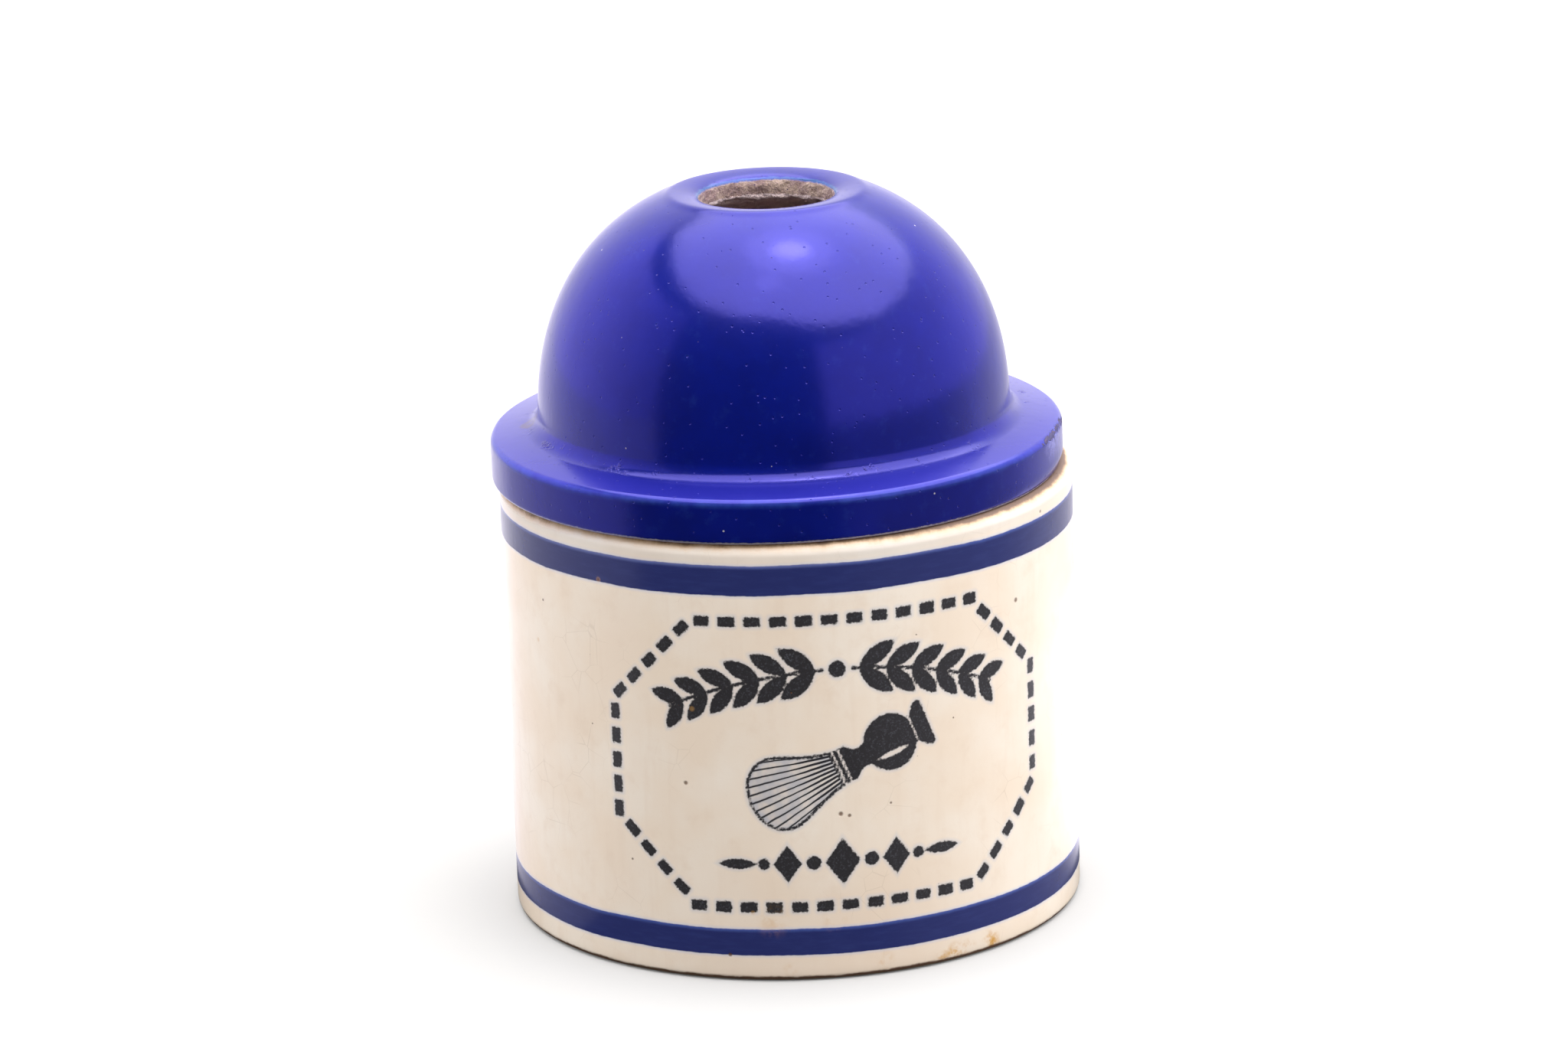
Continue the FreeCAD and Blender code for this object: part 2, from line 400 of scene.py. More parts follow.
def outlineDistance(s, t, points):
    # to the edge of a closed outline, below zero inside
    nearest = np.full(s.shape, 1e9)
    crossings = np.zeros(s.shape, dtype=bool)
    for (sa, ta), (sb, tb) in zip(points, points[1:] + points[:1]):
        ds, dt = sb - sa, tb - ta
        along = np.clip(((s - sa) * ds + (t - ta) * dt) / max(ds * ds + dt * dt, 1e-12), 0, 1)
        nearest = np.minimum(nearest, np.hypot(s - sa - along * ds, t - ta - along * dt))
        if abs(dt) > 1e-12:
            crossings ^= ((ta > t) != (tb > t)) & (s < sa + (t - ta) * ds / dt)
    return np.where(crossings, -nearest, nearest)


def framePlaces():
    # centres and directions of the dashes round the frame
    width, low, high, cut = (printPlan[name] for name in ("halfWidth", "bottom", "top", "corner"))
    corners = [(-width + cut, high), (width - cut, high), (width, high - cut), (width, low + cut),
               (width - cut, low), (-width + cut, low), (-width, low + cut), (-width, high - cut)]
    path = joinStretches(*(linePoints(a, b, 0.2) for a, b in zip(corners, corners[1:] + corners[:1])))
    steps = [math.dist(a, b) for a, b in zip(path, path[1:])]
    total = sum(steps)
    count = round(total / printPlan["dashPitch"])
    places = []
    walked, index = 0.0, 0
    for dash in range(count):
        target = (dash + 0.5) * total / count
        while walked + steps[index] < target:
            walked += steps[index]
            index += 1
        (sa, ta), (sb, tb) = path[index], path[index + 1]
        share = (target - walked) / steps[index]
        places.append((sa + (sb - sa) * share, ta + (tb - ta) * share, math.atan2(tb - ta, sb - sa)))
    return places


def frameDistance(s, t):
    nearest = np.full(s.shape, printPlan["margin"])
    for number, (cs, ct, turn) in enumerate(framePlaces()):
        lean = noise.noise(Vector((number * 1.7, 3.3, 0.5)))
        half = (printPlan["dashLength"] / 2 * (1 + 0.16 * lean),
                printPlan["dashWidth"] / 2 * (1 + 0.14 * noise.noise(Vector((number * 2.3, 8.1, 1.5)))))
        nearest = np.minimum(nearest, boxDistance(s, t, (cs, ct), half, turn + 0.07 * lean))
    return nearest


def sprigDistance(s, t):
    # leaves in pairs along an arc, from a bead in the middle down to both ends
    radius, reach, pitch, leafLength, leafWidth = (printPlan[name] for name in (
        "sprigRadius", "sprigReach", "leafPitch", "leafLength", "leafWidth"))
    middle = printPlan["sprigHeight"] - radius
    nearest = discDistance(s, t, (0, printPlan["sprigHeight"]), 1.05)
    pairs = int((reach - 2.2) / pitch) + 1
    for side in (-1, 1):
        ends = sorted((side * 1.8 / radius, side * (reach + 1.0) / radius))
        angle = np.clip(np.arctan2(s, t - middle), *ends)
        stem = np.hypot(s - radius * np.sin(angle), t - middle - radius * np.cos(angle)) - 0.2
        nearest = np.minimum(nearest, stem)
        for pair in range(pairs):
            along = side * (2.6 + pair * pitch) / radius
            foot = (radius * math.sin(along), middle + radius * math.cos(along))
            length = leafLength * (1 - 0.25 * pair / pairs)
            width = leafWidth * (1 - 0.2 * pair / pairs)
            for flank in (-1, 1):
                turn = -along + (math.pi if side < 0 else 0) + side * flank * math.radians(36)
                centre = (foot[0] + math.cos(turn) * length * 0.52, foot[1] + math.sin(turn) * length * 0.52)
                nearest = np.minimum(nearest, leafDistance(s, t, centre, length, width, turn))
    return nearest


def rowDistance(s, t):
    # lozenges and beads in a short row
    height = printPlan["rowHeight"]
    marks = [lozengeDistance(s, t, (0, height), (2.1, 2.9))]
    for side in (-1, 1):
        marks += [discDistance(s, t, (side * 3.5, height), 0.85),
                  lozengeDistance(s, t, (side * 6.6, height), (1.7, 2.3)),
                  discDistance(s, t, (side * 9.4, height), 0.7),
                  leafDistance(s, t, (side * 12.6, height), 4.6, 1.3, 0)]
    return np.minimum.reduce(marks)


def mirrored(half):
    return half + [(-u, v) for u, v in reversed(half)]


def brushDistances(s, t):
    # across and along the brush, from the top of its collar towards the tips
    size = printPlan["brushSize"]
    places = turned(s, t, printPlan["brushPlace"], math.radians(printPlan["brushTilt"]))
    u, v = (place / size for place in places)
    handle = outlineDistance(u, v, mirrored(joinStretches(
        [(2.3, -0.4)],
        curvePoints([(2.3, -1.9), (1.2, -3.0), (1.1, -3.2), (1.5, -4.2)], 8),
        curvePoints([(1.5, -4.2), (4.4, -5.6), (4.3, -9.2), (1.9, -10.4)], 14),
        curvePoints([(1.9, -10.4), (1.4, -11.0), (3.0, -11.4), (3.2, -12.4)], 8),
        [(3.0, -12.9)],
    )))
    shine = leafDistance(u, v, (-1.5, -7.3), 4.6, 0.75, math.radians(86))
    grooves = [boxDistance(u, v, (0, -1.05), (2.6, 0.16), 0, 0.05),
               boxDistance(u, v, (0, -10.75), (2.6, 0.14), 0, 0.05)]
    handle = np.maximum(handle, -np.minimum.reduce([shine] + grooves))
    knot = outlineDistance(u, v, mirrored(joinStretches(
        [(2.4, -0.1)],
        curvePoints([(2.4, 0.0), (3.0, 3.5), (4.7, 5.4), (4.9, 7.6)], 10),
        curvePoints([(4.9, 7.6), (4.9, 10.2), (2.6, 11.6), (0.0, 11.7)], 10),
    )))
    return size * np.minimum(handle, np.abs(knot + 0.18) - 0.18), size * knot


def paintJar(piece):
    angle, radius, height = cylinderPlaces(piece)
    margin = printPlan["margin"]
    arcPlace = angle * jarRadius
    onWall = (radius > jarRadius - 0.5) & (np.abs(arcPlace) < printPlan["halfWidth"] + margin)
    s, t = arcPlace[onWall], height[onWall]
    brush, knot = brushDistances(s, t)
    marks = np.minimum.reduce([frameDistance(s, t), sprigDistance(s, t), rowDistance(s, t), brush])
    for name, distance in (("inkDistance", marks), ("knotDistance", knot)):
        values = np.full(radius.shape, margin)
        values[onWall] = np.minimum(distance, margin)
        paintPoints(piece, name, values)
    # how far below the rim or outside the lid's flange a point on the wall is
    x, y = radius * np.sin(angle), -radius * np.cos(angle)
    beyond = np.hypot(x - lidCentreX, y) - flangeRadius
    depth = np.hypot(np.clip(beyond, 0, None), np.clip(rimHeight - height + leanAt(x, y), 0, 9))
    depth += 0.5 * np.clip(-1 - beyond, 0, 3)
    paintPoints(piece, "rimDepth", np.where(radius > jarRadius - jarShape["wall"] - 0.5, depth, 9))


paintJar(jar)
print("print drawn:", len(framePlaces()), "dashes, sprig, brush and row")


creamLook = {
    "cream": (0.83, 0.695, 0.565, 1),
    "creamPale": (0.86, 0.76, 0.655, 1),
    "creamPink": (0.77, 0.62, 0.49, 1),
    # painted shade for the wall just under the lid's flange
    "rimShadeGrey": (0.62, 0.58, 0.55, 1),
    "roughness": 0.2,
    "navy": (0.020, 0.027, 0.125, 1),
    "navyPale": (0.07, 0.11, 0.38, 1),
    "bleed": (0.45, 0.52, 0.74, 1),
    "upperBand": (49.74, 1.83),     # middle height and half width
    "lowerBand": (4.92, 1.66),
    "ink": (0.009, 0.009, 0.013, 1),
    "inkWorn": (0.052, 0.055, 0.07, 1),
    "inkHalo": (0.60, 0.585, 0.61, 1),
    "inkWash": (0.42, 0.42, 0.47, 1),
    "crackSpacing": 3.4,
    "clay": (0.42, 0.31, 0.21, 1),
    # also used as painted contact shadow along the foot's bottom edge
    "dirt": (0.12, 0.055, 0.025, 1),
    "rust": (0.62, 0.32, 0.07, 1),
    "rimStain": (0.62, 0.38, 0.17, 1),
    "specks": [                     # degrees from the front, height, radius
        (-30.5, 24.5, 0.32), (-0.2, 20.7, 0.36), (1.5, 20.4, 0.28), (41.4, 42.7, 0.38), (9.9, 21.4, 0.2),
        (-22.7, 3.3, 0.3), (-66.2, 43.6, 0.2), (16.2, 41.6, 0.15), (-43.1, 14.0, 0.2), (51, 52.2, 0.25),
        (-9, 36, 0.14), (24, 30.5, 0.15), (-52, 30, 0.15),
    ],
    "stains": [                     # degrees from the front, height, size, strength
        (32, 1.1, 2.1, 1.0), (23, 0.9, 2.0, 1.0), (20, 0.4, 1.8, 0.9), (26, 1.2, 2.2, 0.5),
        (8, 1.8, 1.6, 0.4), (-11, 1.5, 1.2, 0.3), (-2, 7.6, 2.0, 0.32), (-14, 7.7, 2.6, 0.3),
        (150, 1.4, 5.0, 0.5), (-120, 1.8, 4.0, 0.4), (-170, 8.4, 3.0, 0.3),
    ],
}


def bandMask(place, level, band, seed):
    # 1 in the band, with edges that wander as a hand-held brush does, its halo, and how far up it
    middle, half = band
    sway = noiseNode(place, 14, 1.5, 0.5, seed) - 0.5
    shake = noiseNode(place, 1.1, 2.0, 0.6, seed + 2) - 0.5
    offset = level + sway * 0.55 + shake * 0.16 - middle
    away = abs(offset)
    return (ramp(away, half + 0.07, half - 0.07), ramp(away, half + 0.5, half - 0.1),
            ramp(offset, half - 0.55, half - 0.05))


def hairLines(x, y, z, knot, place):
    # lines that fan out from below the brush's collar, inside the knot's outline
    wallPlace = mathNode("ARCTAN2", x, y * -1.0) * jarRadius
    across, along = turned(wallPlace, z, printPlan["brushPlace"], math.radians(printPlan["brushTilt"]))
    fan = mathNode("ARCTAN2", across, along + printPlan["hairSpread"])
    uneven = noiseNode(place, 1.8, 2, 0.5, 14.0) * 1.6
    wave = mathNode("SINE", fan * printPlan["hairCount"] + uneven)
    darker = ramp(along, 5.5, 0.5, -0.25, 0.75)
    return ramp(wave + darker, 0.15, 0.75) * ramp(knot, -0.1, -0.3)


def creamGlaze():
    look = creamLook
    material, shader, place = newMaterial("creamGlaze")
    x, y, z = split(place)

    # the glazed body: soft clouds, faint upright streaks, a fine grain, and painted shade that darkens it low
    # in front
    clouds = noiseNode(place, 11, 3, 0.55, 1.0)
    patches = noiseNode(place, 3.2, 3, 0.6, 2.0)
    streaks = noiseNode(join(x, y, z * 0.12), 1.3, 2, 0.5, 3.0)
    grain = noiseNode(place, 0.35, 2, 0.6, 4.0)
    colour = mix(ramp(clouds, 0.35, 0.7), look["cream"], look["creamPale"])
    # the last of these is painted shade: darker towards the bottom on the front, where less light reaches
    pinksAndLowShade = [ramp(patches, 0.5, 0.78, 0, 0.5), ramp(streaks, 0.5, 0.75, 0, 0.22),
             ramp(grain, 0.55, 0.8, 0, 0.16), ramp(z, 20, 4, 0, 0.6) * ramp(y, -27, -34.5)]
    for pink in pinksAndLowShade:
        colour = mix(pink, colour, look["creamPink"])

    # faint crackle, in patches
    inputs = {"Vector": place, "Scale": 1 / look["crackSpacing"]}
    crack = newNode(place.tree, "TexVoronoi", inputs, "Distance", feature="DISTANCE_TO_EDGE")
    crackPatch = ramp(noiseNode(place, 9, 2, 0.5, 5.0), 0.52, 0.66, 0, 0.2)
    colour = mix(ramp(crack, 0.016, 0.004) * crackPatch, colour, look["clay"])

    # halos first, then bands and ink over them
    ink = attribute(place.tree, "inkDistance")
    knot = attribute(place.tree, "knotDistance")
    colour = mix(ramp(ink, 0.6, 0.0, 0, 0.55), colour, look["inkHalo"])
    wash = ramp(noiseNode(place, 1.7, 2, 0.6, 15.0), 0.3, 0.65, 0.35, 0.8) * ramp(knot, 0.0, -0.5)
    colour = mix(wash, colour, look["inkWash"])
    outer = ramp(fromAxis(x, y), jarRadius - 1.2, jarRadius - 1.0)
    for band, seed in ((look["upperBand"], 11.0), (look["lowerBand"], 17.0)):
        mask, bleed, upper = bandMask(place, z, band, seed)
        colour = mix(bleed * outer * 0.45, colour, look["bleed"])
        brushed = noiseNode(join(x, y, z * 5.0), 3.0, 3, 0.6, seed)
        navy = mix(ramp(brushed, 0.4, 0.8, 0, 0.1), look["navy"], look["navyPale"])
        navy = mix(upper * 0.7, navy, look["navyPale"])
        colour = mix(mask * outer, colour, navy)

    # the ink: ragged edges, thin places and the brush's hairs as engraved lines
    ragged = noiseNode(place, 0.32, 2, 0.6, 6.0) - 0.5
    worn = ramp(noiseNode(place, 5.5, 2, 0.6, 7.0), 0.57, 0.72)
    solid = ramp(ink + ragged * 0.5 + worn * 0.06, 0.12, -0.09)
    inked = mathNode("MAXIMUM", solid, hairLines(x, y, z, knot, place))
    speckle = ramp(noiseNode(place, 0.24, 2, 0.7, 8.0), 0.5, 0.68)
    thin = (worn * 0.9 + 1.0) * ramp(ink, -0.12, -0.45, 0.25, 0.6)
    colour = mix(inked * 0.97, colour, mix(speckle * thin, look["ink"], look["inkWorn"]))

    # brown specks, and stains where the glaze has let dirt in
    fine = dots(place, 2.3, 0.085, 0.2, 2.0)
    freckles = mathNode("MAXIMUM", dots(place, 5.2, 0.17, 0.3, 1.0), fine * 0.6)
    for degrees, speckHeight, size in look["specks"]:
        away = distanceNode(place, jarRadius, degrees, speckHeight)
        freckles = mathNode("MAXIMUM", freckles, ramp(away, 1.1 * size, 0.35 * size))
    colour = mix(dots(place, 5.2, 0.45, 0.3, 1.0) * 0.28, colour, look["rust"])
    colour = mix(freckles * 0.8, colour, look["dirt"])
    mottle = ramp(noiseNode(place, 1.5, 3, 0.65, 9.0), 0.42, 0.66)
    for degrees, stainHeight, size, strength in look["stains"]:
        away = distanceNode(place, jarRadius, degrees, stainHeight)
        colour = mix(ramp(away, size, 0.1 * size, 0, strength) * mottle, colour, look["rust"])

    # grey painted shade under the rim, brown grime that has crept down from the rim, more of it on the right,
    # and bare clay under the foot with painted contact shadow along its bottom edge
    rimDepth = attribute(place.tree, "rimDepth")
    # painted shade: greyer within a few mm under the rim, where the lid's flange shades the wall
    colour = mix(ramp(rimDepth, 3.0, 1.5, 0, 0.45), colour, look["rimShadeGrey"])
    right = ramp(x, -0.2 * jarRadius, 0.95 * jarRadius, 0.0, 0.5)
    left = ramp(x, -0.75 * jarRadius, -0.98 * jarRadius, 0.0, 0.5)
    grimeNoise = noiseNode(place, 1.6, 3, 0.7, 10.0)
    crept = rimDepth - (grimeNoise * 0.9 - 0.2 + mathNode("MAXIMUM", right, left))
    grime = ramp(crept, 0.85, -0.25)
    grimeColour = mix(ramp(crept, -0.35, 0.25), look["dirt"], look["rimStain"])
    colour = mix(grime * 0.9, colour, grimeColour)
    footNoise = noiseNode(place, 2.2, 3, 0.6, 12.0)
    # bare clay under the foot, darkest brown along its bottom edge as painted contact shadow where the jar
    # meets the floor
    footClayAndShadow = ramp(footNoise * -0.6 + z, 0.5, 0.2) * ramp(z, 3.0, 1.5)
    footClayAndShadowColour = mix(ramp(z, 0.1, 0.5), mix(footNoise, look["dirt"], look["clay"]), look["dirt"])
    feed(shader["Base Color"], mix(footClayAndShadow, colour, footClayAndShadowColour))

    dull = mathNode("MAXIMUM", footClayAndShadow, grime * 0.8)
    gloss = patches * 0.08 + (look["roughness"] - 0.04)
    feed(shader["Roughness"], mix(dull, gloss, 0.75, "FLOAT"))
    shader["IOR"].default_value = 1.5
    orangePeel = bump(noiseNode(place, 1.4, 2, 0.5, 13.0), 0.02)
    feed(shader["Normal"], bump(1.0 - freckles, 0.05, orangePeel))
    return material


jar.data.materials.append(creamGlaze())
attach(jar, "jar")
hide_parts("jar")
print("jar glazed")


lidShape = {
    "ledge": 5.95,          # flange's edge in to the dome
    "edgeHeight": 5.3,      # of the flange, above the jar's rim
    "ledgeSlope": 14.0,
    "edgeRound": 0.9,
    "underRound": 0.6,
    "coveRound": 2.2,
    "domeFoot": 6.75,       # where the dome stands upright
    "domeRise": 29.45,
    "sideFullness": 2.275,  # 2 is an ellipse, and more is squarer
    "crownFullness": 2.223,
    "domeWall": 4.0,
    "crest": (12.6, 11.4),  # radii where the dish begins and of its highest ring
    "holeRadius": 8.2,
    "dishDepth": 0.6,
    "holeWall": 2.5,
    "lipPlay": 1.4,
    "lipDepth": 3.5,
    "lipRound": 0.8,
    "segments": 360,
    "lumps": 0.05,
    "swell": 0.3,           # of the flange's edge, at that many degrees from the front
    "swellSide": 82,
}


domeRadius = flangeRadius - lidShape["ledge"]


def domeHeight(r):
    share = max(1 - (r / domeRadius) ** lidShape["sideFullness"], 0)
    return lidShape["domeFoot"] + lidShape["domeRise"] * share ** (1 / lidShape["crownFullness"])


def domePoints(fromHeight, toRadius, count):
    # up the side and over the shoulder
    points = []
    for step in range(4 * count):
        turn = math.pi / 2 * step / (4 * count)
        r = domeRadius * math.cos(turn) ** (2 / lidShape["sideFullness"])
        z = lidShape["domeFoot"] + lidShape["domeRise"] * math.sin(turn) ** (2 / lidShape["crownFullness"])
        if z > fromHeight and r > toRadius:
            points.append((r, z))
    return points[::2]


def lidOutline():
    # starts inside the lip and runs round by the outside; zero height is the jar's rim
    wall, foot = lidShape["domeWall"], lidShape["domeFoot"]
    slopeDeg, hole = lidShape["ledgeSlope"], lidShape["holeRadius"]
    edge, under, cove, lipRound = (lidShape[name + "Round"] for name in ("edge", "under", "cove", "lip"))
    inside = domeRadius - wall
    lip = jarRadius - jarShape["wall"] - lidShape["lipPlay"]
    lipBottom = -lidShape["lipDepth"]
    slope = math.radians(slopeDeg)
    edgeCentre = (flangeRadius - edge, lidShape["edgeHeight"] - edge * math.tan((math.pi / 2 - slope) / 2))
    coveRadius = domeRadius + cove
    ledgeRun = flangeRadius - coveRadius - cove * math.sin(slope)
    ledgeTop = lidShape["edgeHeight"] + ledgeRun * math.tan(slope)
    coveCentre = (coveRadius, ledgeTop + cove * math.cos(slope))
    side = domePoints(coveCentre[1] + 0.3, lidShape["crest"][0], 60)
    last = side[-1]
    slopeIn = (side[-1][1] - side[-2][1]) / (side[-1][0] - side[-2][0])
    crestRadius = lidShape["crest"][1]
    crestTop = domeHeight(crestRadius) - 0.02
    dishEdge = crestTop - lidShape["dishDepth"]
    holeBottom = dishEdge - lidShape["holeWall"]
    innerDome = [(inside, foot)]
    for r, z in domePoints(foot, hole, 24):
        inner = (r - wall * r / domeRadius, z - wall * (z - foot) / lidShape["domeRise"])
        if inner[0] > hole + 0.8 and inner[1] < holeBottom + 0.3:
            innerDome.append(inner)
    outline = joinStretches(
        linePoints((inside, lipBottom), (lip - lipRound, lipBottom), 0.8),
        arcPoints((lip - lipRound, lipBottom + lipRound), lipRound, -90, 0, 5),
        linePoints((lip, lipBottom + lipRound), (lip, 0), 0.7),
        linePoints((lip, 0), (flangeRadius - under, 0), 0.6),
        arcPoints((flangeRadius - under, under), under, -90, 0, 10),
        linePoints((flangeRadius, under), (flangeRadius, edgeCentre[1]), 0.4),
        arcPoints(edgeCentre, edge, 0, 90 - slopeDeg, 10),
        arcPoints(coveCentre, cove, 270 - slopeDeg, 180, 14),
        side,
        curvePoints([last, (last[0] - 0.7, last[1] - 0.7 * slopeIn), (crestRadius + 0.6, crestTop + 0.02),
                     (crestRadius, crestTop)], 8),
        curvePoints([(crestRadius, crestTop), (crestRadius - 1.1, crestTop - 0.03),
                     (hole + 0.75, dishEdge + 0.35), (hole + 0.2, dishEdge)], 14),
        curvePoints([(hole + 0.2, dishEdge), (hole + 0.02, dishEdge - 0.15),
                     (hole, dishEdge - 0.3), (hole, dishEdge - 0.5)], 5),
        linePoints((hole, dishEdge - 0.5), (hole + 0.1, holeBottom + 0.3), 0.16),
        curvePoints([(hole + 0.1, holeBottom + 0.3), (hole + 0.2, holeBottom - 0.1),
                     (hole + 0.6, holeBottom - 0.1), (hole + 1.2, holeBottom)], 7),
        innerDome[::-1],
        linePoints((inside, foot), (inside, lipBottom), 1.5),
    )
    return [(r, z + rimHeight) for r, z in outline[:-1]]


crestLevel = rimHeight + domeHeight(lidShape["crest"][1])
holeEdgeLevel = crestLevel - lidShape["dishDepth"]
holeBottomLevel = holeEdgeLevel - lidShape["holeWall"]


def lidWave(angle, r, z):
    # thrown and glazed by hand: slow lumps, a ragged wall in the hole, and the rim's lean
    dr = lidShape["lumps"] * ripple(angle, r, z, 13, 4) + 0.006 * ripple(angle, r, z, 4, 5)
    dz = 0.0
    calm = between(z, rimHeight + 0.3, rimHeight + 1.5)
    if r < lidShape["holeRadius"] + 2 and holeBottomLevel - 1 < z < holeEdgeLevel - 0.25:
        raw = float(between(z, holeEdgeLevel - 0.25, holeEdgeLevel - 0.9))
        low = float(between(z, holeBottomLevel + 1.2, holeBottomLevel))
        dr += raw * (0.16 * ripple(angle, r, z, 0.9, 6) + 0.22 * ripple(angle, r, z, 2.6, 7))
        dz += low * (0.45 * ripple(angle, r, 0, 2.2, 8) + 0.25 * ripple(angle, r, 0, 0.9, 9))
    if r > flangeRadius - 2 and z < rimHeight + 6:
        swell = max(math.cos(angle - math.radians(lidShape["swellSide"])), 0) ** 6
        dr += 0.05 * ripple(angle, r, 0, 6, 10) + lidShape["swell"] * swell
    away = angle - math.radians(rimLean["towards"])
    nod = rimLean["drop"] / jarRadius * (z - rimHeight) * math.cos(away)
    dz += leanAt(lidCentreX + r * math.sin(angle), -r * math.cos(angle))
    return dr * float(calm) + nod, dz


lidAngles = [2 * math.pi * step / lidShape["segments"] for step in range(lidShape["segments"])]
lid = turnPiece("lidBody", lidOutline(), lidAngles, True, lidWave, lidCentreX)
print("lid turned:", len(lid.data.vertices), "points")


blueLook = {
    "blue": (0.0012, 0.0062, 0.150, 1),
    "blueDeep": (0.0009, 0.0048, 0.112, 1),
    # painted light: a lighter blue for the flange's upward-facing ledge, where the overhead light falls
    "ledge": (0.014, 0.015, 0.218, 1),
    "thin": (0.08, 0.20, 0.62, 1),          # where the glaze drew back from an edge
    "fringe": (0.05, 0.13, 0.22, 1),
    "hollow": (0.80, 0.64, 0.56, 1),
    "edgeClay": (0.52, 0.48, 0.46, 1),
    "reflection": (0.295, 0.27, 1.0, 1),
    "index": 2.2,
    "roughness": 0.18,
    "clay": (0.29, 0.19, 0.105, 1),
    "clayPale": (0.54, 0.40, 0.25, 1),
    "clayDark": (0.13, 0.075, 0.04, 1),
    "dirt": (0.045, 0.026, 0.014, 1),
    "chipDirt": (0.07, 0.068, 0.085, 1),
    "worn": (0.20, 0.20, 0.52, 1),
    "chip": (69.0, 6.8, 0.5),               # degrees from the front, half length and depth in mm
    "crawl": (-98.0, 5.6),                  # degrees and height over the rim
    "coveGrime": (6.5, 32.0, 33.5),         # height over the rim, and radii where it stops and fades
}


def paintLid(piece):
    # how far past the glaze's edge a point is, in mm, and how sharp an edge it lies on
    angle, radius, height = cylinderPlaces(piece, lidCentreX)
    height = height - leanAt(lidCentreX + radius * np.sin(angle), -radius * np.cos(angle))
    level = height - rimHeight
    hole, foot, edgeHeight = (lidShape[name] for name in ("holeRadius", "domeFoot", "edgeHeight"))
    under = 0.12 - level
    bore = np.where(radius < hole + 0.7, holeEdgeLevel - 0.25 - height, -9.0)
    inside = (radius < domeRadius - lidShape["domeWall"] + 0.9) & (level < foot + 0.5)
    ratio = (np.clip(radius, 0, domeRadius) / domeRadius) ** lidShape["sideFullness"]
    ratio += (np.clip(level - foot, 0, None) / lidShape["domeRise"]) ** lidShape["crownFullness"]
    hollow = (ratio < 0.88) & (level > foot) & (height < holeBottomLevel + 0.6)
    bare = np.maximum.reduce([under, bore, np.where(inside | hollow, 3.0, -9.0)])
    paintPoints(piece, "bareClay", np.clip(bare, -9, 3))
    # the flange's upward-facing ledge, lightened in the glaze as painted light
    ledge = between(radius, domeRadius + 0.6, domeRadius + 2.4) * between(level, edgeHeight - 0.6, edgeHeight)
    paintPoints(piece, "ledge", ledge)
    upper = np.hypot(radius - (flangeRadius - 0.35), level - (edgeHeight - 0.45))
    paintPoints(piece, "flangeEdge", np.clip(1 - upper / 1.1, 0, 1))
    fringe = np.hypot(radius - hole, height - (holeEdgeLevel - 0.1))
    paintPoints(piece, "holeEdge", np.clip(1.4 - fringe / 0.6, 0, 1))


def chipMasks(x, y, z, place, mottle):
    # a chip on the flange's outer edge and the worn glaze under it
    degrees, half, depth = blueLook["chip"]
    turn = math.radians(degrees)
    spot = (lidCentreX + flangeRadius * math.sin(turn), -flangeRadius * math.cos(turn))
    along, inward = turned(x, y, spot, turn)
    below = z - (rimHeight + lidShape["edgeHeight"] - 0.3)
    ragged = noiseNode(place, 0.55, 3, 0.75, 30.0) - 0.5
    alongShare = abs(along / half) ** 2.6
    field = ragged * 5.0 + (alongShare + abs((inward - 0.3) / depth) ** 2.0 + abs(below / 0.42) ** 2.0)
    worn = ramp(below, 0.5, -0.4) * ramp(below, -3.4, -0.8) * ramp(inward, 6, 3)
    worn = worn * ramp(mottle * 2.4 + alongShare, 2.0, 1.15) * ramp(ragged, -0.2, 0.1, 0.2, 0.8)
    return ramp(field, 1.0, 0.75), worn


